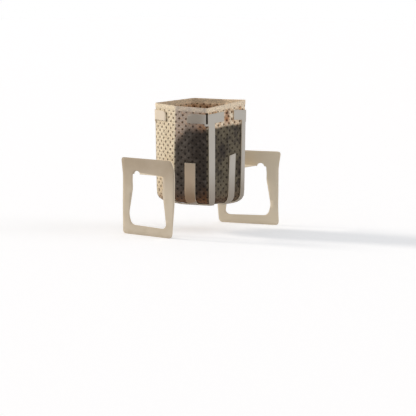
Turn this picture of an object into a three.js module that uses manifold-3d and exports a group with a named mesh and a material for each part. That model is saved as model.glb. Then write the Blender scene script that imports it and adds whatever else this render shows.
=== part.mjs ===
// Drip coffee filter: a nonwoven pouch of coffee with two die-cut paperboard cards glued to it,
// opened out as it hangs on a cup. Millimetres, +Z up, X from ear to ear, ears' lower edges at z = 0.
import * as THREE from "three";
import { mergeVertices, toCreasedNormals } from "three/addons/utils/BufferGeometryUtils.js";
import Module from "manifold-3d";

// Pouch: six-sided mouth, held open by the cards, and a shallow rounded bottom with a keel along Y.
const MOUTH_Z = 75.2;
const MOUTH_HALF_X = 16.6;
const MOUTH_CREASE_X = 21;
const MOUTH_HALF_Y = 21;
const LOWER_HALF_X = 15.8;
const LOWER_CREASE_X = 23;
const LOWER_HALF_Y = MOUTH_HALF_Y - 0.4;
const SHOULDER_Z = 23.8;
const KEEL_Z = 16.2;
const KEEL_SHARE_X = 0.09;
const KEEL_SHARE_Y = 0.52;
const BOTTOM_SQUARENESS = 3.3;
const BOTTOM_RUN = 22;
const FACE_BULGE = 0.7;
const CORNER_CUT = 2.2;
const FABRIC = 0.4;
const HEM_TALL = 2.9;
const HEM_PROUD = 0.25;
const SEAM_HALF = 0.8;
const SEAM_SLOPE = 0.4;
const SEAM_PROUD = 0.45;
const RIM_LIFTS = [-2.7, 0.9, 0.2, 0.4, -1.2, -1.9];

// Coffee bed: rests against the inside of the pouch, dished in the middle by the pouring.
const BED_BELOW_RIM = 12.5;
const BED_DISH = 1.8;

// Cards: paperboard glued outside the pouch.
const CARD = 0.45;
const GLUE_GAP = 0.3;
const ARM_TOP = 3.9;
const ARM_FOOT = 9.7;
const ARM_REACH_EAR_SIDE = 13;
const ARM_REACH_SEAM_SIDE = 13.4;
const SHORT_ARM_REACH = 11.2;
const FOLD_SLIT = 1.2;
const WEB_REACH = 1.4;
const WEB_TALL = 1.2;
const ARM_ROUNDING = 3.4;
const STRIP_INSET = 1.1;
const STRIP_WIDE = 4.8;
const SHORT_STRIP_WIDE = 3.2;
const SIDE_TAB_NEAR = 10;
const SIDE_TAB_FAR = 15.2;
const SIDE_TAB_TOP = 29.4;
const SIDE_TAB_SLANT = 1.2;
const FRONT_TAB_NEAR = 7.4;
const FRONT_TAB_FAR = 13.8;
const FRONT_TAB_TOP = 33.6;
const ROOT_NEAR = 0.6;
const ROOT_FAR = 11.4;
const BAND_BELOW_SHOULDER = 12;
const BAND_TALL = 6;

// Tongue and ear: the tongue lies over the cup's rim and the ear hangs outside it.
const TONGUE_Z = 35;
const LEFT_EAR_X = 43.2;
const RIGHT_EAR_X = 41.2;
const EAR_HALF_WIDE = MOUTH_HALF_Y - 0.8;
const EAR_TALL = 44;
const TONGUE_LOW_Y = -4.6;
const TONGUE_HIGH_Y = 5.9;
const RIGHT_EAR_TWIST = THREE.MathUtils.degToRad(17);
const WINDOW_TOP_Z = TONGUE_Z - 0.15;
const WINDOW_FOOT_Z = 5.3;
const EAR_STILE = 7.7;
const WINDOW_HALF_WIDE = EAR_HALF_WIDE - EAR_STILE;
const WAIST_BELOW_TOP = 8;
const BELLY_ABOVE_FOOT = 6.7;
const NOTCH_Y = 8.6;
const NOTCH_HALF_WIDE = 2.4;
const NOTCH_TALL = 1.9;

const CORNERS = ["F", "R", "BR", "BK", "L", "FL"];
const SEAM_FACES = [0, 3];

function cornerAt(index, share) {
  const crease = index === 2 || index === 5;
  const halfX = crease
    ? THREE.MathUtils.lerp(MOUTH_CREASE_X, LOWER_CREASE_X, share)
    : THREE.MathUtils.lerp(MOUTH_HALF_X, LOWER_HALF_X, share);
  const halfY = crease ? 0 : THREE.MathUtils.lerp(MOUTH_HALF_Y, LOWER_HALF_Y, share);
  const signX = index === 0 || index === 4 || index === 5 ? -1 : 1;
  const signY = index < 2 ? -1 : 1;
  return new THREE.Vector2(signX * halfX, signY * halfY);
}

// Distances round the mouth, from corner F by R, BR, BK, L and FL back to F.
const MOUTH = CORNERS.map((_, index) => cornerAt(index, 0));
const STARTS = [0];
for (let index = 0; index < MOUTH.length; index += 1) {
  const next = MOUTH[(index + 1) % MOUTH.length];
  STARTS.push(STARTS[index] + MOUTH[index].distanceTo(next));
}
const GIRTH = STARTS[MOUTH.length];
const [, , , , AT_L, AT_FL] = STARTS;
const SHOULDER_RUN = MOUTH_Z - SHOULDER_Z;
const KEEL_RUN = SHOULDER_RUN + BOTTOM_RUN;
const BAND_TOP = SHOULDER_RUN + BAND_BELOW_SHOULDER;
const BAND_FOOT = BAND_TOP + BAND_TALL;

function faceOf(around) {
  const turned = ((around % GIRTH) + GIRTH) % GIRTH;
  let face = 0;
  while (face < 5 && turned >= STARTS[face + 1]) face += 1;
  return { face, turned, share: (turned - STARTS[face]) / (STARTS[face + 1] - STARTS[face]) };
}

function rimLift(around) {
  const { face, share } = faceOf(around);
  return THREE.MathUtils.lerp(RIM_LIFTS[face], RIM_LIFTS[(face + 1) % 6], share);
}

function alongFace(around, openness) {
  const { face, share } = faceOf(around);
  const start = cornerAt(face, openness);
  const end = cornerAt((face + 1) % 6, openness);
  return start.lerp(end, share);
}

// Point of the six-sided section, its corners rounded.
function sectionPoint(around, openness) {
  const { turned } = faceOf(around);
  let corner = -1;
  for (let index = 0; index <= 6; index += 1) {
    if (Math.abs(turned - STARTS[index]) < CORNER_CUT) corner = index;
  }
  if (corner < 0) return alongFace(around, openness);
  const before = alongFace(STARTS[corner] - CORNER_CUT, openness);
  const after = alongFace(STARTS[corner] + CORNER_CUT, openness);
  const tip = cornerAt(corner % 6, openness);
  const t = (turned - STARTS[corner] + CORNER_CUT) / (2 * CORNER_CUT);
  return before
    .multiplyScalar((1 - t) ** 2)
    .addScaledVector(tip, 2 * t * (1 - t))
    .addScaledVector(after, t * t);
}

// Pouch surface: `around` runs round the mouth and `down` from the rim over the shoulder to the keel.
function onPouch(around, down) {
  const openness = THREE.MathUtils.clamp(down / SHOULDER_RUN, 0, 1);
  const { share } = faceOf(around);
  const flat = sectionPoint(around, openness);
  const bulge = FACE_BULGE * Math.sin(Math.PI * share) ** 2 * Math.sin(Math.PI * openness) ** 2;
  const outward = flat.length();
  flat.multiplyScalar((outward + bulge) / outward);
  const lift = rimLift(around) * (1 - openness);
  if (down <= SHOULDER_RUN) {
    return new THREE.Vector3(flat.x, flat.y, MOUTH_Z - down + lift);
  }
  const angle = (Math.PI / 2) * Math.min(1, (down - SHOULDER_RUN) / BOTTOM_RUN);
  const wide = Math.max(0, Math.cos(angle)) ** (2 / BOTTOM_SQUARENESS);
  const deep = Math.sin(angle) ** (2 / BOTTOM_SQUARENESS);
  return new THREE.Vector3(
    flat.x * THREE.MathUtils.lerp(KEEL_SHARE_X, 1, wide),
    flat.y * THREE.MathUtils.lerp(KEEL_SHARE_Y, 1, wide),
    THREE.MathUtils.lerp(SHOULDER_Z, KEEL_Z, deep),
  );
}

function outwardAt(around, down) {
  const step = 0.05;
  const low = Math.max(0, down - step);
  const high = Math.min(KEEL_RUN, down + step);
  const turn = onPouch(around + step, down).sub(onPouch(around - step, down));
  const fall = onPouch(around, high).sub(onPouch(around, low));
  return fall.cross(turn).normalize();
}

function offPouch(around, down, distance) {
  return onPouch(around, down).addScaledVector(outwardAt(around, down), distance);
}

function aroundStations() {
  const stations = [];
  for (let face = 0; face < 6; face += 1) {
    const start = STARTS[face];
    const length = STARTS[face + 1] - start;
    stations.push(start + CORNER_CUT / 3, start + CORNER_CUT);
    if (SEAM_FACES.includes(face)) {
      const middle = start + length / 2;
      const edge = SEAM_HALF + SEAM_SLOPE;
      stations.push(start + length / 4);
      stations.push(middle - edge, middle - SEAM_HALF, middle + SEAM_HALF, middle + edge);
      stations.push(start + (3 * length) / 4);
    } else {
      stations.push(start + length / 3, start + (2 * length) / 3);
    }
    stations.push(start + length - CORNER_CUT, start + length - CORNER_CUT / 3);
  }
  return stations;
}

function seamProud(around, down) {
  const { face, turned } = faceOf(around);
  if (!SEAM_FACES.includes(face) || down > SHOULDER_RUN) return 0;
  const fromMiddle = Math.abs(turned - (STARTS[face] + STARTS[face + 1]) / 2);
  return fromMiddle <= SEAM_HALF + 1e-6 ? SEAM_PROUD : 0;
}

// A closed loft through rings of points, each ring with the same number of points, from the first
// ring to the last; both ends close on their middle point.
function closedLoft(rings) {
  const count = rings[0].length;
  const positions = rings.flat().flatMap((point) => point.toArray());
  const middles = [rings[0], rings[rings.length - 1]].map((ring) =>
    ring.reduce((sum, point) => sum.add(point), new THREE.Vector3()).divideScalar(count),
  );
  const first = positions.length / 3;
  positions.push(...middles[0].toArray(), ...middles[1].toArray());
  const index = [];
  for (let row = 0; row < rings.length - 1; row += 1) {
    for (let at = 0; at < count; at += 1) {
      const next = (at + 1) % count;
      const a = row * count + at;
      const b = row * count + next;
      index.push(a, a + count, b, b, a + count, b + count);
    }
  }
  for (let at = 0; at < count; at += 1) {
    const next = (at + 1) % count;
    const last = (rings.length - 1) * count;
    index.push(first, at, next, first + 1, last + next, last + at);
  }
  const geometry = new THREE.BufferGeometry();
  geometry.setAttribute("position", new THREE.Float32BufferAttribute(positions, 3));
  geometry.setIndex(index);
  return geometry;
}

const BODY_ROWS = [7, 13, 20, 27, 34, 41, SHOULDER_RUN];
const BOTTOM_SHARES = [0.16, 0.34, 0.52, 0.7, 0.86, 1];
const BOTTOM_ROWS = BOTTOM_SHARES.map((share) => SHOULDER_RUN + share * BOTTOM_RUN);

function pouchGeometry() {
  const stations = aroundStations();
  const outside = (down, proud) =>
    stations.map((around) => offPouch(around, down, proud + seamProud(around, down)));
  const inside = (down) => stations.map((around) => offPouch(around, down, -FABRIC));
  const outer = [
    outside(0, HEM_PROUD),
    outside(HEM_TALL, HEM_PROUD),
    outside(HEM_TALL + 0.2, 0),
    ...BODY_ROWS.map((down) => outside(down, 0)),
    ...BOTTOM_ROWS.map((down) => outside(down, 0)),
  ];
  const inner = [0, ...BODY_ROWS, ...BOTTOM_ROWS].map(inside);
  return closedLoft([...inner.reverse(), ...outer]);
}

function bedGeometry() {
  const stations = aroundStations();
  const offset = -(FABRIC + GLUE_GAP);
  const side = [BED_BELOW_RIM, ...BODY_ROWS, ...BOTTOM_ROWS]
    .filter((down, index) => index === 0 || down > BED_BELOW_RIM + 1)
    .map((down) => stations.map((around) => offPouch(around, down, offset)));
  const rim = side[0];
  const top = [0.2, 0.5, 0.8].map((share) =>
    rim.map((point) => {
      const sunk = BED_DISH * (1 - share * share);
      return new THREE.Vector3(point.x * share, point.y * share, point.z - sunk);
    }),
  );
  return closedLoft([...top, ...side]);
}

// The root tab folds out into the tongue where its top edge reaches the tongue's upper face.
function rootTopDown() {
  const lift = rimLift(AT_FL - (ROOT_NEAR + ROOT_FAR) / 2);
  return (MOUTH_Z + lift - TONGUE_Z - CARD) / (1 + lift / SHOULDER_RUN);
}

// Flat layout of the glued card as rectangles [left, right, top, foot] in `around` and `down`.
function cardRectangles() {
  const stripLeft = GIRTH + STRIP_INSET;
  const shortRight = AT_L - STRIP_INSET;
  return [
    [AT_L - SIDE_TAB_FAR, stripLeft + STRIP_WIDE, BAND_TOP, BAND_FOOT],
    [stripLeft, stripLeft + STRIP_WIDE, ARM_TOP, BAND_FOOT],
    [shortRight - SHORT_STRIP_WIDE, shortRight, ARM_TOP, BAND_FOOT],
    [AT_L - SIDE_TAB_FAR, AT_L - SIDE_TAB_NEAR, SIDE_TAB_TOP, BAND_FOOT],
    [GIRTH - FRONT_TAB_FAR, GIRTH - FRONT_TAB_NEAR, FRONT_TAB_TOP, BAND_FOOT],
    [AT_FL - ROOT_FAR, AT_FL - ROOT_NEAR, rootTopDown(), BAND_FOOT],
    [GIRTH + FOLD_SLIT / 2, GIRTH + ARM_REACH_SEAM_SIDE, ARM_TOP, ARM_FOOT],
    [GIRTH - ARM_REACH_EAR_SIDE, GIRTH - FOLD_SLIT / 2, ARM_TOP, ARM_FOOT],
    [AT_L + FOLD_SLIT / 2, AT_L + ARM_REACH_EAR_SIDE, ARM_TOP, ARM_FOOT],
    [AT_L - SHORT_ARM_REACH, AT_L - FOLD_SLIT / 2, ARM_TOP, ARM_FOOT],
    // Webs that join the two arms of a fold under its open slit.
    [GIRTH - WEB_REACH, stripLeft, ARM_FOOT, ARM_FOOT + WEB_TALL],
    [shortRight, AT_L + WEB_REACH, ARM_FOOT, ARM_FOOT + WEB_TALL],
  ];
}

// Ends of the two arms that lie on the ear's side, rounded at the top: [around, way in].
function roundedEnds() {
  return [[GIRTH - ARM_REACH_EAR_SIDE, 1], [AT_L + ARM_REACH_EAR_SIDE, -1]];
}

function sortedLines(values, low, high) {
  const inside = values.filter((value) => value > low - 1e-6 && value < high + 1e-6);
  inside.sort((a, b) => a - b);
  return inside.filter((value, at) => at === 0 || value - inside[at - 1] > 0.02);
}

// The side tab's top edge slants, and the square at each rounded end shrinks to a quarter circle.
function layoutPoint(around, down) {
  for (const [end, way] of roundedEnds()) {
    const across = 1 + ((end - around) * way) / ARM_ROUNDING;
    const up = 1 + (ARM_TOP - down) / ARM_ROUNDING;
    if (across > 0.01 && across < 1.01 && up > 0.01) {
      const shrink = Math.max(across, up) / Math.hypot(across, up);
      const inward = way * ARM_ROUNDING * (1 - across * shrink);
      return [end + inward, ARM_TOP + ARM_ROUNDING * (1 - up * shrink)];
    }
  }
  const onTab = around < AT_L - SIDE_TAB_NEAR + 0.01 && Math.abs(down - SIDE_TAB_TOP) < 0.01;
  const share = (AT_L - SIDE_TAB_NEAR - around) / (SIDE_TAB_FAR - SIDE_TAB_NEAR);
  return [around, onTab ? down + SIDE_TAB_SLANT * share : down];
}

// The die-cut layout wrapped onto the pouch as a sheet of card.
function wrappedCard() {
  const rectangles = cardRectangles();
  const roundings = [ARM_ROUNDING / 2, ARM_ROUNDING];
  const columns = [
    ...aroundStations().flatMap((around) => [around, around + GIRTH]),
    ...rectangles.flatMap(([left, right]) => [left, right]),
    ...roundedEnds().flatMap(([end, way]) => roundings.map((run) => end + way * run)),
  ];
  const rows = [
    ...BODY_ROWS.slice(1),
    ...BOTTOM_ROWS,
    ...rectangles.flatMap(([, , top, foot]) => [top, foot]),
    ...roundings.map((run) => ARM_TOP + run),
  ];
  const xs = sortedLines(columns, AT_L - SIDE_TAB_FAR, GIRTH + ARM_REACH_SEAM_SIDE);
  const ys = sortedLines(rows, ARM_TOP, BAND_FOOT);
  const covered = (x, y) =>
    rectangles.some(([left, right, top, foot]) => x > left && x < right && y > top && y < foot);

  const faces = [];
  for (let row = 0; row + 1 < ys.length; row += 1) {
    for (let column = 0; column + 1 < xs.length; column += 1) {
      const [x0, x1, y0, y1] = [xs[column], xs[column + 1], ys[row], ys[row + 1]];
      if (!covered((x0 + x1) / 2, (y0 + y1) / 2)) continue;
      faces.push([[x0, y0], [x0, y1], [x1, y1], [x1, y0]]);
    }
  }
  return thickSheet(faces);
}

function thickSheet(faces) {
  const numbers = new Map();
  const flat = [];
  const numberOf = (point) => {
    const key = point.map((value) => value.toFixed(3)).join(" ");
    if (!numbers.has(key)) {
      numbers.set(key, flat.length);
      flat.push(layoutPoint(...point));
    }
    return numbers.get(key);
  };
  const loops = faces.map((face) => face.map(numberOf));
  const count = flat.length;
  const index = [];
  const edges = new Map();
  for (const loop of loops) {
    for (let at = 1; at + 1 < loop.length; at += 1) {
      const [a, b, c] = [loop[0], loop[at], loop[at + 1]];
      index.push(a + count, b + count, c + count, a, c, b);
    }
    loop.forEach((from, at) => {
      const to = loop[(at + 1) % loop.length];
      edges.set(`${from} ${to}`, [from, to]);
    });
  }
  for (const [from, to] of edges.values()) {
    if (!edges.has(`${to} ${from}`)) index.push(from, to, to + count, from, to + count, from + count);
  }
  const near = flat.map(([around, down]) => offPouch(around, down, GLUE_GAP));
  const far = flat.map(([around, down]) => offPouch(around, down, GLUE_GAP + CARD));
  const geometry = new THREE.BufferGeometry();
  const positions = [...near, ...far].flatMap((point) => point.toArray());
  geometry.setAttribute("position", new THREE.Float32BufferAttribute(positions, 3));
  geometry.setIndex(index);
  return geometry;
}

// Outline points are [y, z, radius]; corners with a radius are rounded.
function roundedOutline(points) {
  const outline = [];
  points.forEach(([x, y, radius], index) => {
    const here = new THREE.Vector2(x, y);
    if (!radius) {
      outline.push(here);
      return;
    }
    const before = points[(index + points.length - 1) % points.length];
    const after = points[(index + 1) % points.length];
    const start = new THREE.Vector2(before[0], before[1]).sub(here).setLength(radius).add(here);
    const end = new THREE.Vector2(after[0], after[1]).sub(here).setLength(radius).add(here);
    [0, 0.25, 0.5, 0.75, 1].forEach((t) => {
      const point = start.clone().multiplyScalar((1 - t) ** 2);
      outline.push(point.addScaledVector(here, 2 * t * (1 - t)).addScaledVector(end, t * t));
    });
  });
  return outline;
}

function smoothShape(points) {
  const shape = new THREE.Shape();
  shape.setFromPoints(roundedOutline(points));
  return shape;
}

// The ear, seen from outside the cup: [y, z, radius].
function earShape() {
  const half = EAR_HALF_WIDE;
  const shape = smoothShape([
    [half + 0.4, 0, 2.4],
    [half + 0.1, EAR_TALL * 0.23],
    [half - 0.1, EAR_TALL * 0.57],
    [half, EAR_TALL * 0.77],
    [half + 1.4, EAR_TALL, 2.2],
    [-half + 1.8, EAR_TALL, 2.2],
    [-half - 0.4, EAR_TALL * 0.89],
    [-half - 1.1, EAR_TALL * 0.73],
    [-half - 0.8, EAR_TALL * 0.45],
    [-half + 1.2, 0, 2.4],
  ]);
  shape.holes.push(new THREE.Path().setFromPoints(roundedOutline(windowOutline())));
  return shape;
}

// The window narrows below its top corners and widens to its foot.
function windowOutline() {
  const half = WINDOW_HALF_WIDE;
  const waist = WINDOW_TOP_Z - WAIST_BELOW_TOP;
  const window = [
    [-half - 0.1, WINDOW_TOP_Z, 1.2],
    [-half - 0.9, WINDOW_TOP_Z - 4, 1.5],
    [-half + 0.8, waist, 1.5],
    [-half - 2.1, WINDOW_FOOT_Z + 1.7, 0],
    [-half - 1.9, WINDOW_FOOT_Z - 0.3, 3.4],
    [half + 1.1, WINDOW_FOOT_Z + 0.3, 3.4],
    [half + 2.9, WINDOW_FOOT_Z + BELLY_ABOVE_FOOT, 1.5],
    [half - 0.1, waist, 1.5],
    [half + 0.1, WINDOW_TOP_Z - 4, 1],
    [half - 0.2, WINDOW_TOP_Z, 0.6],
  ];
  const steps = 10;
  for (let step = 0; step <= steps; step += 1) {
    const angle = (Math.PI * step) / steps;
    const y = NOTCH_Y + NOTCH_HALF_WIDE * Math.cos(angle);
    window.push([y, WINDOW_TOP_Z + NOTCH_TALL * Math.sin(angle), 0]);
  }
  return window;
}

function earPivot(earX) {
  return new THREE.Vector2(-earX, (TONGUE_LOW_Y + TONGUE_HIGH_Y) / 2);
}

function earGeometry(earX, twist) {
  const pivot = earPivot(earX);
  const geometry = new THREE.ExtrudeGeometry(earShape(), { depth: CARD, bevelEnabled: false });
  geometry.rotateX(Math.PI / 2);
  geometry.rotateZ(Math.PI / 2);
  geometry.translate(-CARD / 2, -pivot.y, 0);
  geometry.rotateZ(twist);
  geometry.translate(pivot.x, pivot.y, 0);
  return geometry;
}

// The tongue lies level from the root tab's top edge out to the ear.
function tongueGeometry(earX, twist) {
  const pivot = earPivot(earX);
  const earEnds = [TONGUE_HIGH_Y, TONGUE_LOW_Y].map((y) =>
    new THREE.Vector2(-earX, y).rotateAround(pivot, twist),
  );
  const down = rootTopDown();
  const rootEnds = [];
  for (let share = 0; share <= 1; share += 0.25) {
    const around = AT_FL - THREE.MathUtils.lerp(ROOT_NEAR, ROOT_FAR, share);
    const point = offPouch(around, down, GLUE_GAP + CARD / 2);
    rootEnds.push(new THREE.Vector2(point.x, point.y));
  }
  const shape = new THREE.Shape([...rootEnds, ...earEnds]);
  const geometry = new THREE.ExtrudeGeometry(shape, { depth: CARD, bevelEnabled: false });
  geometry.translate(0, 0, TONGUE_Z);
  return geometry;
}

const wasm = await Module();
wasm.setup();

function toSolid(geometry) {
  const bare = new THREE.BufferGeometry();
  const source = geometry.index ? geometry.toNonIndexed() : geometry;
  bare.setAttribute("position", source.getAttribute("position"));
  const merged = mergeVertices(bare, 1e-4);
  return new wasm.Manifold(
    new wasm.Mesh({
      numProp: 3,
      vertProperties: merged.attributes.position.array,
      triVerts: new Uint32Array(merged.index.array),
    }),
  );
}

function toGeometry(solid) {
  const mesh = solid.getMesh();
  const positions = [];
  for (let at = 0; at < mesh.numVert; at += 1) {
    const start = at * mesh.numProp;
    positions.push(...mesh.vertProperties.subarray(start, start + 3));
  }
  const geometry = new THREE.BufferGeometry();
  geometry.setAttribute("position", new THREE.Float32BufferAttribute(positions, 3));
  geometry.setIndex([...mesh.triVerts]);
  return geometry;
}

function cardGeometry(earX, twist) {
  const glued = toSolid(wrappedCard());
  const tongue = toSolid(tongueGeometry(earX, twist));
  const ear = toSolid(earGeometry(earX, twist));
  return toGeometry(glued.add(tongue).add(ear));
}

function addNode(group, name, geometry, color, roughness) {
  const material = new THREE.MeshStandardMaterial({ color, roughness });
  const mesh = new THREE.Mesh(toCreasedNormals(geometry, 0.6), material);
  mesh.name = name;
  group.add(mesh);
}

const filter = new THREE.Group();
filter.name = "drip_coffee_filter";
addNode(filter, "filter_pouch", pouchGeometry(), 0x8f7d63, 0.9);
addNode(filter, "coffee_grounds", bedGeometry(), 0x2a1c12, 0.95);
addNode(filter, "hanger_card_left", cardGeometry(LEFT_EAR_X, 0), 0xdccbb0, 0.85);
const rightCard = cardGeometry(RIGHT_EAR_X, RIGHT_EAR_TWIST).rotateZ(Math.PI);
addNode(filter, "hanger_card_right", rightCard, 0xd8c6aa, 0.85);

const middle = new THREE.Box3().setFromObject(filter).getCenter(new THREE.Vector3());
for (const mesh of filter.children) {
  mesh.geometry.translate(-middle.x, -middle.y, 0);
}

export default filter;
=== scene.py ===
"""Drip coffee filter: a wet dotted nonwoven pouch with two die-cut paperboard cards, on a pale floor."""

import math

import bmesh
import bpy
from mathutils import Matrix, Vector, noise
from mathutils.bvhtree import BVHTree


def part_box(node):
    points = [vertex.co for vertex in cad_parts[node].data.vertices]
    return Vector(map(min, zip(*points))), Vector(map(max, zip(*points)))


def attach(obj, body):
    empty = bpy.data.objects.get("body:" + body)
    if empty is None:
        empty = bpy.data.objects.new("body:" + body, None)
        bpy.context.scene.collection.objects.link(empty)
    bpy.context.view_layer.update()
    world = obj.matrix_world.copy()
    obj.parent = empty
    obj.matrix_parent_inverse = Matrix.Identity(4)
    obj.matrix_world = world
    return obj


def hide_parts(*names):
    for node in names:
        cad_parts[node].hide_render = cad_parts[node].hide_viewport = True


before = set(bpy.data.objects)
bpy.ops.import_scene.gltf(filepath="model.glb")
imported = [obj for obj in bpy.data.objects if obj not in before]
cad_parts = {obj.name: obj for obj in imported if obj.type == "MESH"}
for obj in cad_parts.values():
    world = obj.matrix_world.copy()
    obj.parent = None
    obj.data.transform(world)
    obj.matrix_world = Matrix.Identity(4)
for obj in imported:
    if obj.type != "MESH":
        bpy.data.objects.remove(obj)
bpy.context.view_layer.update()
MM = 0.001

# Pouch: the same section and profile as the solid, in millimetres.
MOUTH_Z = 75.2
MOUTH_CORNERS = [(-16.6, -21), (16.6, -21), (21, 0), (16.6, 21), (-16.6, 21), (-21, 0)]
LOWER_CORNERS = [(-15.8, -20.6), (15.8, -20.6), (23, 0), (15.8, 20.6), (-15.8, 20.6), (-23, 0)]
RIM_LIFTS = [-2.7, 0.9, 0.2, 0.4, -1.2, -1.9]
SHOULDER_Z = 23.8
KEEL_Z = 16.2
KEEL_SHARE_X = 0.09
KEEL_SHARE_Y = 0.52
BOTTOM_SQUARENESS = 3.3
BOTTOM_RUN = 22
FACE_BULGE = 0.7
CORNER_CUT = 2.2
HEM_TALL = 2.9
HEM_PROUD = 0.25
SEAM_HALF = 0.8
SEAM_PROUD = 0.45
CLOTH = 0.22
WET_LINE = 12.5
ARM_FOOT = 9.7
SHOULDER_RUN = MOUTH_Z - SHOULDER_Z
KEEL_RUN = SHOULDER_RUN + BOTTOM_RUN

# Sides of the pouch in order round the mouth, from the front corner. The two wide ones have a seam.
FRONT_RIGHT, RIGHT_BACK, BACK_CREASE, BACK_LEFT, LEFT_FRONT, FRONT_LEFT = range(6)
WIDE_FACES = (FRONT_RIGHT, BACK_LEFT)

POUCH_LOW, POUCH_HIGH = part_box("filter_pouch")
AXIS_X = (POUCH_LOW.x + POUCH_HIGH.x) / 2 / MM

# Distances round the mouth at which the corners lie, from the front corner.
STARTS = [0.0]
for here, after in zip(MOUTH_CORNERS, MOUTH_CORNERS[1:] + MOUTH_CORNERS[:1]):
    STARTS.append(STARTS[-1] + math.dist(here, after))
GIRTH = STARTS[-1]

# Lattice of pressed dots: so many round the mouth, in staggered rows.
DOTS_ROUND = 33
DOT_PITCH = GIRTH / DOTS_ROUND
DOT_ROW = 2.1

# Camera, fitted to the outline in the 416-pixel photograph.
PICTURE = 416
FOCUS_PX = 2000
CAMERA_AZIMUTH = math.radians(-46.4)
CAMERA_ELEVATION = math.radians(5.05)
CAMERA_DISTANCE = 1167.4 * MM
SENSOR = 36
AIM_OFF_PX = (7.6, -43.8)
SIGHTED_POINT = Vector((AXIS_X * MM, 0, 38.3 * MM))


def mix(a, b, share):
    share = min(1.0, max(0.0, share))
    return a + (b - a) * share


def smooth(low, high, value):
    t = min(1.0, max(0.0, (value - low) / (high - low)))
    return t * t * (3 - 2 * t)


def linear(code):
    """sRGB hex to linear RGBA."""
    values = [int(code[i:i + 2], 16) / 255 for i in (1, 3, 5)]
    return [v / 12.92 if v <= 0.04045 else ((v + 0.055) / 1.055) ** 2.4 for v in values] + [1.0]


def blend(a, b, share):
    return [mix(p, q, share) for p, q in zip(a, b)]


def face_at(around):
    """The side at a distance round the mouth, and the share of that side that lies before it."""
    around %= GIRTH
    face = max(i for i in range(6) if around >= STARTS[i] - 1e-9)
    return face, (around - STARTS[face]) / (STARTS[face + 1] - STARTS[face])


def section_corner(index, opening):
    """A corner of the pouch's section, from 0 at the mouth to 1 at the shoulder."""
    a, b = MOUTH_CORNERS[index % 6], LOWER_CORNERS[index % 6]
    return Vector((mix(a[0], b[0], opening), mix(a[1], b[1], opening)))


def along_face(around, opening):
    face, share = face_at(around)
    return section_corner(face, opening).lerp(section_corner(face + 1, opening), share)


def section_point(around, opening):
    """A point of the section, with its corners rounded."""
    around %= GIRTH
    for index, start in enumerate(STARTS):
        if abs(around - start) < CORNER_CUT:
            before = along_face(start - CORNER_CUT, opening)
            after = along_face(start + CORNER_CUT, opening)
            t = (around - start + CORNER_CUT) / (2 * CORNER_CUT)
            tip = section_corner(index, opening)
            return before * (1 - t) ** 2 + tip * 2 * t * (1 - t) + after * t * t
    return along_face(around, opening)


def on_pouch(around, down):
    """The plain surface of the pouch at a distance round the mouth and down from the rim."""
    opening = min(1.0, max(0.0, down / SHOULDER_RUN))
    face, share = face_at(around)
    flat = section_point(around, opening)
    bulge = FACE_BULGE * (math.sin(math.pi * share) * math.sin(math.pi * opening)) ** 2
    flat *= (flat.length + bulge) / flat.length
    lift = mix(RIM_LIFTS[face], RIM_LIFTS[(face + 1) % 6], share) * (1 - opening)
    if down <= SHOULDER_RUN:
        return Vector((flat.x, flat.y, MOUTH_Z - down + lift))
    angle = math.pi / 2 * min(1.0, (down - SHOULDER_RUN) / BOTTOM_RUN)
    wide = max(0.0, math.cos(angle)) ** (2 / BOTTOM_SQUARENESS)
    deep = math.sin(angle) ** (2 / BOTTOM_SQUARENESS)
    return Vector((
        flat.x * mix(KEEL_SHARE_X, 1, wide),
        flat.y * mix(KEEL_SHARE_Y, 1, wide),
        mix(SHOULDER_Z, KEEL_Z, deep),
    ))


def outward(around, down):
    """The direction that points away from the pouch's plain surface."""
    step = 0.05
    turn = on_pouch(around + step, down) - on_pouch(around - step, down)
    fall = on_pouch(around, min(KEEL_RUN, down + step)) - on_pouch(around, max(0, down - step))
    return fall.cross(turn).normalized()


def ripple(around, down, size, seed):
    """Smooth noise that closes on itself round the mouth, from -1 to 1; size is in millimetres."""
    radius = GIRTH / (2 * math.pi * size)
    angle = 2 * math.pi * around / GIRTH
    return noise.noise(Vector((radius * math.cos(angle), radius * math.sin(angle), down / size + seed)))


# Relief of the cloth: heights in millimetres, and the size and seed of each kind of ripple.
SEAM_FADE = (46, 60)
SLACK_FOLDS = (9, 3)
SLACK_HIGH = 0.28
SLACK_SHORTENED = 0.45
CREASES = (3.2, 8)
CREASE_HIGH = 0.12
RELIEF_LIMIT = 0.22
RELIEF_UNDER_ARMS = 0.35
ARM_FREE_RUN = 6
PINCH_OFF_SEAM = 1.6
PINCH_WIDE = 1.1
PINCH_DEEP = 0.7
PINCH_ENDS = (3.2, 5.5), (9, 15)


def from_seam(face, share):
    """Signed distance in millimetres along a side from its middle, where a wide side has its seam."""
    return (share - 0.5) * (STARTS[face + 1] - STARTS[face])


def stretch(down, start, end):
    """1 between two soft ends, each a pair of depths below the rim, and 0 outside them."""
    return smooth(*start, down) * (1 - smooth(*end, down))


def seam_height(around, down):
    face, share = face_at(around)
    if face not in WIDE_FACES:
        return 0
    ridge = 1 - smooth(SEAM_HALF - 0.2, SEAM_HALF + 0.4, abs(from_seam(face, share)))
    return SEAM_PROUD * ridge * (1 - smooth(*SEAM_FADE, down))


def pinch_depth(around, down):
    """The wrinkle that is drawn in beside each seam, near the mouth."""
    face, share = face_at(around)
    if face not in WIDE_FACES:
        return 0
    off = from_seam(face, share) - PINCH_OFF_SEAM
    return PINCH_DEEP * math.exp(-(off / PINCH_WIDE) ** 2) * stretch(down, *PINCH_ENDS)


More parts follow.
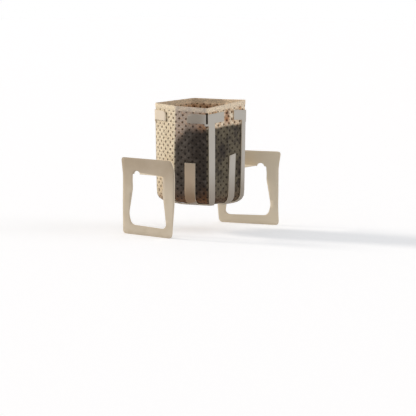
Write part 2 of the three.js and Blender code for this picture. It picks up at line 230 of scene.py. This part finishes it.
def cloth_height(around, down):
    """How far the cloth stands off its plain surface: hem, seam, slack folds, creases and pinch."""
    hem = HEM_PROUD * (1 - smooth(HEM_TALL - 0.3, HEM_TALL + 0.1, down))
    folds = SLACK_HIGH * ripple(around, down * SLACK_SHORTENED, *SLACK_FOLDS)
    folds += CREASE_HIGH * ripple(around, down, *CREASES)
    calm = mix(RELIEF_UNDER_ARMS, 1, smooth(ARM_FOOT, ARM_FOOT + ARM_FREE_RUN, down))
    relief = min(RELIEF_LIMIT, folds * calm)
    return hem + seam_height(around, down) + relief - pinch_depth(around, down)


# Colours of the pouch in its wet and dry parts, and of its painted shade and painted highlight.
DRY_CREAM_AND_HIGHLIGHT = linear("#EFE2C8")
DRY_TAN = linear("#D6C3A3")
BAND_CREAM = linear("#FBEAD0")
HEM_CLOTH = linear("#F3DFC4")
# Painted shade: the grey of the front-left side's top and hem, where that side lies in shade.
SHADED_GREY = linear("#BAAEA4")
DAMP_BROWN = linear("#C39263")
RUST = linear("#9A5A2C")
WET_CHARCOAL = linear("#38302A")
WET_GREY = linear("#6A625B")
WET_OLIVE = linear("#6A6150")
WET_BROWN = linear("#7C4F24")
# Painted shade in the open slit and the pinched hole.
SLIT_PAINTED_SHADE = linear("#30261F")

# Sizes in millimetres, and seeds, of the stains' patches, grain, flecks and soft border.
PATCHES = (11, 21)
GRAIN = (2.4, 33)
FLECKS = (1.3, 47)
BORDER = (4, 61)

# Places of the stains, and of the painted shade in the slit and the pinched hole, in millimetres: depths
# below the rim, and half widths beside fold and seam.
SLIT_HALF = 0.7
SLIT_ENDS = (2.6, 3.4), (10.5, 12)
HOLE_AROUND = 17.4
HOLE_DOWN = 5
HOLE_FLATTENED = 0.7
HOLE_RIM = (0.5, 1.3)
STREAK_HALF = (0.5, 3.5)
STREAK_ENDS = (3, 5), (10, 13)
CREASED_LINE_LEFT = 24
CREASED_LINE_RIGHT = 13
TAN_RUN = (30, 60)
DAMP_RUN = (52, 62)
FOOT_RUN = (44, 62)

# Stands for the distance to the seam on a side that has none, and is past the streak.
NO_SEAM = 9


def slit_shade(around, down):
    """Painted shade: dark cloth in the open fold of the front card and in the pinched hole beside the seam.
    """
    off = min(around, GIRTH - around)
    fold = (1 - smooth(SLIT_HALF, SLIT_HALF + 0.5, off)) * stretch(down, *SLIT_ENDS)
    hole = math.dist((around, down * HOLE_FLATTENED), (HOLE_AROUND, HOLE_DOWN * HOLE_FLATTENED))
    return max(fold, 1 - smooth(*HOLE_RIM, hole))


def dry_side(around, down, share):
    """The left side: cream cloth, only lightly stained, and paler by the front-left crease, which is painted
    highlight.
    """
    patch = ripple(around, down, *PATCHES)
    fleck = ripple(around, down, *FLECKS)
    colour = blend(DRY_CREAM_AND_HIGHLIGHT, DRY_TAN, 0.35 + 0.4 * patch + 0.3 * smooth(*TAN_RUN, down))
    colour = blend(colour, DAMP_BROWN, 0.55 * smooth(*DAMP_RUN, down) + 0.3 * max(0, fleck))
    # Painted highlight: the strip next to the front-left crease is made paler.
    return blend(colour, DRY_CREAM_AND_HIGHLIGHT, 0.6 * smooth(0.86, 1.0, share))


def creased_side(around, down, share):
    """The side beside the open fold: a grey top, which is painted shade, that darkens downwards into the wet
    stain without a clear line.
    """
    patch = ripple(around, down, *PATCHES)
    grain = ripple(around, down, *GRAIN)
    fleck = ripple(around, down, *FLECKS)
    line = mix(CREASED_LINE_LEFT, CREASED_LINE_RIGHT, smooth(0, 0.5, share)) + 2.5 * patch + 1.5 * grain
    top = blend(SHADED_GREY, DAMP_BROWN, 0.15 + 0.6 * max(0, fleck) + 0.5 * smooth(0.6, 1, share))
    top = blend(top, RUST, 0.25 * smooth(0.35, 0.7, share) * smooth(line - 5, line - 2, down))
    colour = blend(top, WET_CHARCOAL, smooth(line - mix(9, 2, share), line + 3, down))
    pale = 0.5 * (1 - smooth(0.2, 0.75, share)) + 0.7 * grain
    return blend(colour, WET_GREY, max(0, pale) * smooth(line, line + 4, down))


def seam_side(around, down, off_seam):
    """The wide sides: a cream band with a rust streak at the seam, and dark below a clear wet line."""
    patch = ripple(around, down, *PATCHES)
    grain = ripple(around, down, *GRAIN)
    fleck = ripple(around, down, *FLECKS)
    line = WET_LINE + 0.9 * patch + 0.9 * grain
    top = blend(BAND_CREAM, DAMP_BROWN, 0.3 + 0.7 * grain + 0.5 * fleck)
    streak = (1 - smooth(*STREAK_HALF, off_seam + 1.2 * fleck)) * stretch(down, *STREAK_ENDS)
    top = blend(top, RUST, 0.7 * streak)
    dark = blend(WET_OLIVE, WET_CHARCOAL, 0.4 + patch + grain)
    return blend(top, dark, smooth(line - 0.7, line + 1.2, down))


def cloth_colour(around, down):
    """Colour of the pouch's outside: its side first, then the painted highlight on the front-left crease,
    the borders, the hem, the painted shade in the slit and hole, and the foot.
    """
    face, share = face_at(around)
    creased = face in (FRONT_LEFT, BACK_CREASE)
    if face == LEFT_FRONT:
        colour = dry_side(around, down, share)
    elif creased:
        colour = creased_side(around, down, share)
    else:
        off_seam = abs(from_seam(face, share)) if face in WIDE_FACES else NO_SEAM
        colour = seam_side(around, down, off_seam)
    # Painted highlight: a cream line along the front-left crease.
    if face == FRONT_LEFT:
        colour = blend(DRY_CREAM_AND_HIGHLIGHT, colour, 0.25 + 0.75 * smooth(0, 0.04, share))
    if face == BACK_LEFT:
        edge = smooth(0.7, 0.93, share + 0.06 * ripple(around, down, *BORDER))
        colour = blend(colour, dry_side(around, down, 0), edge)
    hem = 1 - smooth(HEM_TALL - 0.4, HEM_TALL + 0.3, down)
    # Painted shade: the hem is greyed on the front-left side, which lies in shade; elsewhere the grey varies
    # at random.
    hem_shade_and_tone = 0.6 * (face == FRONT_LEFT) + 0.3 * ripple(around, down, *GRAIN)
    hem_colour = blend(HEM_CLOTH, SHADED_GREY, hem_shade_and_tone)
    colour = blend(colour, hem_colour, hem if face != LEFT_FRONT else 0.3 * hem)
    # Painted shade in the slit and the pinched hole.
    colour = blend(colour, SLIT_PAINTED_SHADE, slit_shade(around, down))
    low = smooth(*FOOT_RUN, down + 6 * ripple(around, down, *PATCHES))
    return blend(colour, WET_BROWN, low * (0.7 if creased else 0.3))


def new_object(bm, name, materials):
    mesh = bpy.data.meshes.new(name)
    bm.to_mesh(mesh)
    bm.free()
    obj = bpy.data.objects.new(name, mesh)
    bpy.context.scene.collection.objects.link(obj)
    for material in materials:
        mesh.materials.append(material)
    for polygon in mesh.polygons:
        polygon.use_smooth = True
    return obj


def ring_sleeve(bm, rings):
    """A sleeve through rings of points, extruded ring by ring. Returns its rows of vertices."""
    count = len(rings[0])
    made = bmesh.ops.create_circle(bm, segments=count, radius=1)["verts"]
    grid = [list(made)]
    for vertex, point in zip(made, rings[0]):
        vertex.co = point
    edges = list(bm.edges)
    for ring in rings[1:]:
        places = {tuple(vertex.co): at for at, vertex in enumerate(grid[-1])}
        geometry = bmesh.ops.extrude_edge_only(bm, edges=edges)["geom"]
        row = [None] * count
        for vertex in geometry:
            if isinstance(vertex, bmesh.types.BMVert):
                row[places[tuple(vertex.co)]] = vertex
        edges = [edge for edge in geometry if isinstance(edge, bmesh.types.BMEdge)]
        for vertex, point in zip(row, ring):
            vertex.co = point
        grid.append(row)
        reached = set(row)
        edges = [edge for edge in edges if reached.issuperset(edge.verts)]
    return grid


def close_ring(bm, row):
    bmesh.ops.contextual_create(bm, geom=row)


def to_frame(bm):
    bmesh.ops.translate(bm, vec=(AXIS_X, 0, 0), verts=bm.verts)
    bmesh.ops.scale(bm, vec=(MM, MM, MM), verts=bm.verts)


POUCH_COLUMNS = 224
HEM_ROWS = 6
BODY_STEP = 0.75
BOTTOM_ROWS = 30
WRAP_SHARE = 0.1


def pouch_rows():
    """Depths of the pouch's rows of points: close at the hem, even below it, and down to the keel."""
    rows = [HEM_TALL * i / HEM_ROWS for i in range(HEM_ROWS)]
    rows += [HEM_TALL - 0.15, HEM_TALL + 0.1]
    body = int((SHOULDER_RUN - HEM_TALL) / BODY_STEP)
    rows += [mix(HEM_TALL + 0.5, SHOULDER_RUN, i / body) for i in range(body + 1)]
    rows += [SHOULDER_RUN + BOTTOM_RUN * (i + 1) / BOTTOM_ROWS for i in range(BOTTOM_ROWS)]
    return rows


def make_pouch(outer, inner):
    """The cloth bag, closed at the keel, with its stains, painted shade and painted highlight as a colour
    layer and a UV in millimetres.
    """
    rows = pouch_rows()
    arounds = [GIRTH * i / POUCH_COLUMNS for i in range(POUCH_COLUMNS)]
    rings = [
        [on_pouch(a, d) + outward(a, d) * cloth_height(a, d) for a in arounds] for d in rows
    ]
    bm = bmesh.new()
    uv = bm.loops.layers.uv.new("cloth")
    stains_and_painted_light = bm.verts.layers.float_color.new("stains_and_painted_light")
    grid = ring_sleeve(bm, rings)
    close_ring(bm, grid[-1])
    bm.verts.index_update()
    place = {v.index: (a, d) for row, d in zip(grid, rows) for v, a in zip(row, arounds)}
    for row, d in zip(grid, rows):
        for vertex, a in zip(row, arounds):
            # The colour layer holds the stains, and also the painted shade and the painted highlight.
            vertex[stains_and_painted_light] = cloth_colour(a, d)
    for face in bm.faces:
        wraps = max(place[v.index][0] for v in face.verts) > GIRTH * (1 - WRAP_SHARE)
        for loop in face.loops:
            a, d = place[loop.vert.index]
            past_start = wraps and a < GIRTH * WRAP_SHARE
            loop[uv].uv = (a + GIRTH if past_start else a, d)
    to_frame(bm)
    bmesh.ops.recalc_face_normals(bm, faces=bm.faces)
    obj = new_object(bm, "pouch_cloth", [outer, inner])
    wall = obj.modifiers.new("cloth wall", "SOLIDIFY")
    wall.thickness = CLOTH * MM
    wall.offset = -1
    wall.material_offset = 1
    wall.material_offset_rim = 0
    return obj


# Bed of grounds, in millimetres: its gap to the cloth's plain surface, its dish and its grit.
GROUNDS_COLUMNS = 150
GROUNDS_RINGS = 46
GROUNDS_SIDE_ROWS = [20, 28, 36, 44]
GROUNDS_FOOT_ROWS = 8
GROUNDS_GAP = 0.95
DISH = 1.8
SETTLED = 0.3
FINE_GRIT_HIGH = 0.35
FINE_GRITS_A_MM = 1.1
LUMP_HIGH = 0.45
LUMPS_A_MM = 0.45
LUMP_SEED = Vector((5, 5, 5))


def grounds_top(rim_point, share):
    """A point of the bed's top, from 0 in the middle to 1 at the rim, where the grit dies out."""
    spot = Vector((rim_point.x * share, rim_point.y * share, 0))
    grit = FINE_GRIT_HIGH * noise.noise(spot * FINE_GRITS_A_MM)
    grit += LUMP_HIGH * noise.noise(spot * LUMPS_A_MM + LUMP_SEED)
    dish = DISH * (1 - share * share)
    return Vector((spot.x, spot.y, rim_point.z - dish + grit * (1 - share ** 6) - SETTLED))


def make_grounds(material):
    """The wet bed of coffee that fills the pouch up to its wet line."""
    arounds = [GIRTH * i / GROUNDS_COLUMNS for i in range(GROUNDS_COLUMNS)]
    foot = [SHOULDER_RUN + BOTTOM_RUN * i / GROUNDS_FOOT_ROWS for i in range(GROUNDS_FOOT_ROWS + 1)]
    downs = [WET_LINE + 0.1] + GROUNDS_SIDE_ROWS + foot
    side = [[on_pouch(a, d) - outward(a, d) * GROUNDS_GAP for a in arounds] for d in downs]
    top = [
        [grounds_top(point, step / GROUNDS_RINGS) for point in side[0]]
        for step in range(1, GROUNDS_RINGS)
    ]
    bm = bmesh.new()
    grid = ring_sleeve(bm, top + side)
    close_ring(bm, grid[0])
    close_ring(bm, grid[-1])
    to_frame(bm)
    bmesh.ops.recalc_face_normals(bm, faces=bm.faces)
    return new_object(bm, "grounds_bed", [material])


# Cards, in millimetres. A flat side has about one thickness of board behind it, a cut edge has more.
CARD = 0.45
FLAT_SIDE_LIMIT = 1.5 * CARD
RAY_START = 0.01
FLAT_SIDE, CUT_EDGE = range(2)
EDGE_ROUND = 0.07
SLICE = 2.5
SLICE_SHIFT = 0.11
BEND_HEIGHT = 0.5
BEND_ALONG = 16
BEND_UP = 19
BEND_SEED_LEFT = 4
BEND_SEED_RIGHT = 9
BEND_FROM_AXIS = (27, 41)


def mark_cut_edges(bm):
    """Gives each face the slot of the board's flat side or of its cut edge, by the board behind it."""
    depths = BVHTree.FromBMesh(bm)
    for face in bm.faces:
        inward = -face.normal
        start = face.calc_center_median() + inward * RAY_START * MM
        through = depths.ray_cast(start, inward)[3]
        flat = through is not None and through < FLAT_SIDE_LIMIT * MM
        face.material_index = FLAT_SIDE if flat else CUT_EDGE


def slice_card(bm, node):
    """Cuts across the card every few millimetres, so that it can bend."""
    low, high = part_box(node)
    for axis in range(3):
        cuts = int((high[axis] - low[axis]) / (SLICE * MM))
        for step in range(1, cuts):
            place = low.copy()
            place[axis] = low[axis] + step * SLICE * MM + SLICE_SHIFT * MM
            normal = Vector([1.0 if i == axis else 0.0 for i in range(3)])
            geometry = bm.verts[:] + bm.edges[:] + bm.faces[:]
            bmesh.ops.bisect_plane(bm, geom=geometry, dist=1e-6, plane_co=place, plane_no=normal)


def bend_ear(bm):
    """Bends the ear slightly in and out, as damp board warps, and leaves the glued part alone."""
    for vertex in bm.verts:
        x, y, z = vertex.co / MM
        seed = BEND_SEED_LEFT if x < 0 else BEND_SEED_RIGHT
        bend = BEND_HEIGHT * noise.noise(Vector((y / BEND_ALONG, z / BEND_UP, seed)))
        vertex.co.x += smooth(*BEND_FROM_AXIS, abs(x - AXIS_X)) * bend * MM


def make_card(node, name, face_material, edge_material):
    """A copy of the card's solid with its facets joined, its cut edges eased and its ear bent a little."""
    bm = bmesh.new()
    bm.from_mesh(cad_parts[node].data)
    bmesh.ops.remove_doubles(bm, verts=bm.verts, dist=2e-6)
    mark_cut_edges(bm)
    bmesh.ops.dissolve_limit(
        bm, angle_limit=math.radians(0.6), verts=bm.verts, edges=bm.edges, delimit={"MATERIAL"},
    )
    slice_card(bm, node)
    bend_ear(bm)
    joined = [edge for edge in bm.edges if len(edge.link_faces) == 2]
    sharp = [edge for edge in joined if edge.calc_face_angle(0) > math.radians(50)]
    bmesh.ops.bevel(
        bm, geom=sharp, affect="EDGES", offset=EDGE_ROUND * MM, segments=1, profile=0.5,
        material=-1, clamp_overlap=True,
    )
    obj = new_object(bm, name, [face_material, edge_material])
    obj.data.set_sharp_from_angle(angle=math.radians(35))
    return obj


def add(tree, kind, inputs=None, **settings):
    """Adds a shader node; inputs maps a socket to a value or to another node's output."""
    node = tree.nodes.new(kind)
    for key, value in settings.items():
        setattr(node, key, value)
    for socket, value in (inputs or {}).items():
        target = node.inputs[socket]
        if isinstance(value, bpy.types.NodeSocket):
            tree.links.new(value, target)
        else:
            target.default_value = value
    return node


def math_node(tree, operation, first, second=0.0, third=0.0):
    return add(tree, "ShaderNodeMath", {0: first, 1: second, 2: third}, operation=operation).outputs[0]


def mix_node(tree, kind, factor, first, second):
    """Mixes two colours, on the Mix node's own colour sockets 6 and 7."""
    node = add(tree, "ShaderNodeMix", {0: factor, 6: first, 7: second}, data_type="RGBA", blend_type=kind)
    return node.outputs[2]


def noise_node(tree, vector, size, detail=3.0):
    """Noise whose patches are about as wide as size, in the units of the vector."""
    sockets = {"Vector": vector, "Scale": 1 / size, "Detail": detail}
    return add(tree, "ShaderNodeTexNoise", sockets).outputs["Fac"]


def span(tree, value, low, high, to_low=0.0, to_high=1.0):
    """A smooth change from to_low to to_high while the value goes from low to high."""
    sockets = {0: value, 1: low, 2: high, 3: to_low, 4: to_high}
    return add(tree, "ShaderNodeMapRange", sockets, interpolation_type="SMOOTHSTEP").outputs[0]


def new_material(name):
    material = bpy.data.materials.new(name)
    material.use_nodes = True
    return material, material.node_tree, material.node_tree.nodes["Principled BSDF"]


def set_surface(tree, shader, colour, height, roughness, bump, ior):
    """Links a colour and a relief to the shader; bump is the relief's height in millimetres."""
    tree.links.new(colour, shader.inputs["Base Color"])
    shader.inputs["Roughness"].default_value = roughness
    shader.inputs["IOR"].default_value = ior
    relief = add(tree, "ShaderNodeBump", {"Height": height, "Distance": bump * MM, "Strength": 1.0})
    tree.links.new(relief.outputs[0], shader.inputs["Normal"])


def dot_lattice(tree):
    """The cloth's own UV, and the distance in millimetres on it to the nearest pressed dot."""
    place = add(tree, "ShaderNodeUVMap", uv_map="cloth").outputs[0]
    parts = add(tree, "ShaderNodeSeparateXYZ", {0: place})
    row = math_node(tree, "DIVIDE", parts.outputs[1], DOT_ROW)
    odd = math_node(tree, "MODULO", math_node(tree, "FLOOR", row), 2.0)
    column = math_node(tree, "DIVIDE", parts.outputs[0], DOT_PITCH)
    column = math_node(tree, "MULTIPLY_ADD", odd, 0.5, column)
    across = math_node(tree, "SUBTRACT", math_node(tree, "FRACT", column), 0.5)
    along = math_node(tree, "SUBTRACT", math_node(tree, "FRACT", row), 0.5)
    across = math_node(tree, "MULTIPLY", across, DOT_PITCH)
    along = math_node(tree, "MULTIPLY", along, DOT_ROW)
    squares = math_node(tree, "MULTIPLY_ADD", along, along, math_node(tree, "MULTIPLY", across, across))
    return place, math_node(tree, "SQRT", squares)


# Patterns of the cloth, in millimetres on its own UV.
DOT_RIM = (0.4, 0.95)
DOT_RAGGED = 1.11
FIBRE_CLUMP = 0.909
BLOTCH = 3.57


def inner_stain(tree, place, down):
    """Blotched brown inside the pouch, below a paler hem."""
    soaked = span(tree, down, HEM_TALL - 1, HEM_TALL + 1.5, 0.1, 0.9)
    blotch = span(tree, noise_node(tree, place, BLOTCH), 0.35, 0.65)
    stained = mix_node(tree, "MIX", blotch, linear("#B98761"), linear("#E8C49A"))
    return mix_node(tree, "MIX", soaked, linear("#E6D3B8"), stained)


def nonwoven_cloth(name, inside=False):
    """Thermal-bonded nonwoven, wet with coffee: soft mottled fibres and a lattice of darker pressed dots."""
    material, tree, shader = new_material(name)
    place, distance = dot_lattice(tree)
    ragged = math_node(tree, "MULTIPLY_ADD", noise_node(tree, place, DOT_RAGGED), 0.5, -0.25)
    distance = math_node(tree, "ADD", distance, ragged)
    down = add(tree, "ShaderNodeSeparateXYZ", {0: place}).outputs[1]
    below_hem = span(tree, down, HEM_TALL - 0.2, HEM_TALL + 0.6)
    dot = math_node(tree, "MULTIPLY", span(tree, distance, *DOT_RIM, 1.0, 0.0), below_hem)
    fibre = noise_node(tree, place, FIBRE_CLUMP, 6.0)
    if inside:
        ground = inner_stain(tree, place, down)
    else:
        # The colour layer: stains, with painted shade and painted highlight.
        ground = add(tree, "ShaderNodeVertexColor", layer_name="stains_and_painted_light").outputs[0]
    shade = span(tree, fibre, 0.3, 0.7, 0.74, 1.22)
    mottle = add(tree, "ShaderNodeCombineColor", {0: shade, 1: shade, 2: shade}).outputs[0]
    ground = mix_node(tree, "MULTIPLY", 1.0, ground, mottle)
    pressed = mix_node(tree, "MULTIPLY", 1.0, ground, linear("#7F6F5D"))
    colour = mix_node(tree, "MIX", dot, ground, pressed)
    height = math_node(tree, "SUBTRACT", math_node(tree, "MULTIPLY", fibre, 0.35), dot)
    set_surface(tree, shader, colour, height, roughness=0.62, bump=0.18, ior=1.45)
    shader.inputs["Specular IOR Level"].default_value = 0.2
    shader.inputs["Sheen Weight"].default_value = 0.05
    return material


# Patterns of the board in metres, and the places where its colours change.
BOARD_CLOUD = 8.33 * MM
BOARD_FIBRE = 0.714 * MM
EDGE_FIBRE = 1.11 * MM
# Painted shade: the ear's top is darker.
EAR_SHADED_TOP_Z = (0.02, 0.044)
# Painted light: the right ear is paler.
RIGHT_EAR_PAINTED_LIGHT_X = (0.02, 0.03)
# Painted light and shade: the arms' lit +y side and shaded -y side.
SHADED_SIDE_Y = (-0.002, 0.002)
ARM_STAIN_Z = (0.024, 0.044)
# Painted shade: the grey top of the arm on the creased side.
ARM_SHADED_TOP_Z = (0.036, 0.06)
SOAKED_FOOT_Z = (0.02, 0.036)
CREASED_SIDE_X = (-0.0205, -0.0185)
EAR_FROM_AXIS = (0.024, 0.03)
STAIN_WANDER = 0.008


def ear_colour(tree, cloud, x, z):
    """Dry board, a little greyer near the fold at the top of the ear, which is painted shade; the ear on the
    right is paler and warmer, which is painted light.
    """
    ear = mix_node(tree, "MIX", span(tree, cloud, 0.35, 0.65), linear("#D4C7B3"), linear("#CDBFA9"))
    # Painted shade: the top of the ear is darkened.
    ear = mix_node(tree, "MULTIPLY", span(tree, z, *EAR_SHADED_TOP_Z), ear, linear("#DED9D5"))
    # Painted light: the right ear is paler and warmer, though both cards are the same board.
    return mix_node(tree, "MIX", span(tree, x, *RIGHT_EAR_PAINTED_LIGHT_X), ear, linear("#F3E5CD"))


def arm_colour(tree, cloud, x, y, z):
    """Board of the arms: paler on the +y side, where the key light falls, which is painted light, and greyer
    on the -y side, which is painted shade; greyer brown towards the foot, a coffee stain; and on the creased
    side a grey top, painted shade, over a brown soaked foot.
    """
    # Painted light and shade: the arm is paler on the +y side, which the key light reaches, and greyer on
    # the -y side, which lies in shade.
    shaded_side = span(tree, y, *SHADED_SIDE_Y, 1.0, 0.0)
    arm = mix_node(tree, "MIX", shaded_side, linear("#E6D8C4"), linear("#C8C2B9"))
    level = math_node(tree, "MULTIPLY_ADD", cloud, STAIN_WANDER, z)
    arm = mix_node(tree, "MIX", span(tree, level, *ARM_STAIN_Z, 0.85, 0.0), arm, linear("#A69A8D"))
    # Painted shade: the grey top of the arm on the creased side; the brown towards its foot is a coffee
    # stain.
    soaked = mix_node(tree, "MIX", span(tree, level, *ARM_SHADED_TOP_Z), linear("#CEBAA2"), linear("#A39A8F"))
    soaked = mix_node(tree, "MIX", span(tree, level, *SOAKED_FOOT_Z), linear("#997D62"), soaked)
    creased_side = math_node(tree, "MULTIPLY", span(tree, x, *CREASED_SIDE_X, 1.0, 0.0), shaded_side)
    return mix_node(tree, "MIX", creased_side, arm, soaked)


def paperboard(name):
    """Uncoated paperboard, die-cut: a calm matt face with a faint fibre cloud, stained where it is wet, with
    painted shade and painted light on its arms and ears.
    """
    material, tree, shader = new_material(name)
    place = add(tree, "ShaderNodeTexCoord").outputs["Object"]
    cloud = noise_node(tree, place, BOARD_CLOUD, 4.0)
    fibre = noise_node(tree, place, BOARD_FIBRE, 2.0)
    x, y, z = add(tree, "ShaderNodeSeparateXYZ", {0: place}).outputs
    from_axis = math_node(tree, "ABSOLUTE", math_node(tree, "SUBTRACT", x, AXIS_X * MM))
    glued = span(tree, from_axis, *EAR_FROM_AXIS, 1.0, 0.0)
    colour = mix_node(
        tree, "MIX", glued, ear_colour(tree, cloud, x, z), arm_colour(tree, cloud, x, y, z),
    )
    set_surface(tree, shader, colour, fibre, roughness=0.78, bump=0.02, ior=1.47)
    return material


def cut_edge():
    """The die-cut edge of the board: paler, raw fibres."""
    material, tree, shader = new_material("cut paperboard edge")
    place = add(tree, "ShaderNodeTexCoord").outputs["Object"]
    fibre = noise_node(tree, place, EDGE_FIBRE, 2.0)
    colour = mix_node(tree, "MIX", fibre, linear("#F1E6D2"), linear("#E2D2B8"))
    set_surface(tree, shader, colour, fibre, roughness=0.85, bump=0.02, ior=1.47)
    return material


COFFEE_GRAIN = 0.714 * MM
COFFEE_SPECK = 1.11 * MM


def wet_grounds():
    """Wet ground coffee: near-black brown grains about 0.7 mm across, with a wet shine between them."""
    material, tree, shader = new_material("wet ground coffee")
    place = add(tree, "ShaderNodeTexCoord").outputs["Object"]
    grains = add(tree, "ShaderNodeTexVoronoi", {"Vector": place, "Scale": 1 / COFFEE_GRAIN})
    speck = span(tree, noise_node(tree, place, COFFEE_SPECK, 4.0), 0.35, 0.7)
    colour = mix_node(tree, "MIX", speck, linear("#1E120B"), linear("#4A2E1C"))
    set_surface(tree, shader, colour, grains.outputs["Distance"], roughness=0.42, bump=0.4, ior=1.45)
    return material


FLOOR_HALF = 6
FLOOR_LIFT = 0.25


def studio_floor():
    """Matt white floor. It glows a little for the camera alone, so it looks pale with its shadow."""
    material, tree, shader = new_material("pale studio floor")
    shader.inputs["Base Color"].default_value = linear("#F3F5FA")
    shader.inputs["Roughness"].default_value = 0.9
    shader.inputs["Specular IOR Level"].default_value = 0.1
    shader.inputs["Emission Color"].default_value = (1, 1, 1, 1)
    seen = add(tree, "ShaderNodeLightPath").outputs["Is Camera Ray"]
    tree.links.new(math_node(tree, "MULTIPLY", seen, FLOOR_LIFT), shader.inputs["Emission Strength"])
    bm = bmesh.new()
    bmesh.ops.create_grid(bm, x_segments=1, y_segments=1, size=FLOOR_HALF)
    new_object(bm, "floor", [material])


SOFT_LIGHT = 0.52


def set_world():
    """White behind the object and in its gloss, and a softer white as its light."""
    world = bpy.data.worlds.new("white studio")
    bpy.context.scene.world = world
    world.use_nodes = True
    tree = world.node_tree
    tree.nodes.clear()
    path = add(tree, "ShaderNodeLightPath")
    seen = math_node(tree, "MAXIMUM", path.outputs["Is Camera Ray"], path.outputs["Is Glossy Ray"])
    seen = math_node(tree, "MAXIMUM", seen, path.outputs["Is Transmission Ray"])
    soft = add(tree, "ShaderNodeBackground", {"Color": linear("#FBFAF8"), "Strength": SOFT_LIGHT})
    white = add(tree, "ShaderNodeBackground", {"Color": (1, 1, 1, 1), "Strength": 1.0})
    both = add(tree, "ShaderNodeMixShader", {0: seen, 1: soft.outputs[0], 2: white.outputs[0]})
    output = add(tree, "ShaderNodeOutputWorld")
    tree.links.new(both.outputs[0], output.inputs[0])


def add_sun(name, toward, strength, spread, colour):
    lamp = bpy.data.lights.new(name, "SUN")
    lamp.energy = strength
    lamp.angle = math.radians(spread)
    lamp.color = linear(colour)[:3]
    obj = bpy.data.objects.new(name, lamp)
    obj.rotation_euler = (-Vector(toward)).to_track_quat("-Z", "Y").to_euler()
    bpy.context.scene.collection.objects.link(obj)


def set_camera():
    """The photograph's view: the aim is moved by pixels from the sighted point, with no shift."""
    sine, cosine = math.sin(CAMERA_AZIMUTH), math.cos(CAMERA_AZIMUTH)
    back = Vector((
        sine * math.cos(CAMERA_ELEVATION), -cosine * math.cos(CAMERA_ELEVATION), math.sin(CAMERA_ELEVATION),
    ))
    right = Vector((cosine, sine, 0))
    up = back.cross(right)
    place = SIGHTED_POINT + back * CAMERA_DISTANCE
    per_pixel = CAMERA_DISTANCE / FOCUS_PX
    aim = SIGHTED_POINT + right * (AIM_OFF_PX[0] * per_pixel) + up * (AIM_OFF_PX[1] * per_pixel)
    data = bpy.data.cameras.new("camera")
    data.sensor_width = SENSOR
    data.lens = SENSOR * FOCUS_PX / PICTURE
    camera = bpy.data.objects.new("camera", data)
    camera.location = place
    camera.rotation_euler = (aim - place).to_track_quat("-Z", "Y").to_euler()
    bpy.context.scene.collection.objects.link(camera)
    bpy.context.scene.camera = camera


def dress_filter():
    outer = nonwoven_cloth("coffee-stained nonwoven")
    inner = nonwoven_cloth("inner face of the nonwoven", inside=True)
    board = paperboard("uncoated paperboard")
    edge = cut_edge()
    pouch = make_pouch(outer, inner)
    grounds = make_grounds(wet_grounds())
    left = make_card("hanger_card_left", "card_left", board, edge)
    right = make_card("hanger_card_right", "card_right", board, edge)
    dressed = [
        (pouch, "filter_pouch", "pouch_fabric"),
        (grounds, "coffee_grounds", "wet_coffee"),
        (left, "hanger_card_left", "card_board"),
        (right, "hanger_card_right", "card_board"),
    ]
    for piece, node, slot in dressed:
        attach(piece, "root")
        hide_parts(node)


def light_scene():
    set_world()
    add_sun("warm key from the back left", (-0.3, 0.9, 0.38), 2.1, 12, "#FFF5E8")
    add_sun("soft fill from the front right", (0.55, -0.8, 0.5), 0.5, 40, "#FFFFFF")


dress_filter()
studio_floor()
light_scene()
set_camera()
bpy.context.scene.view_settings.view_transform = "Standard"

bpy.context.view_layer.update()
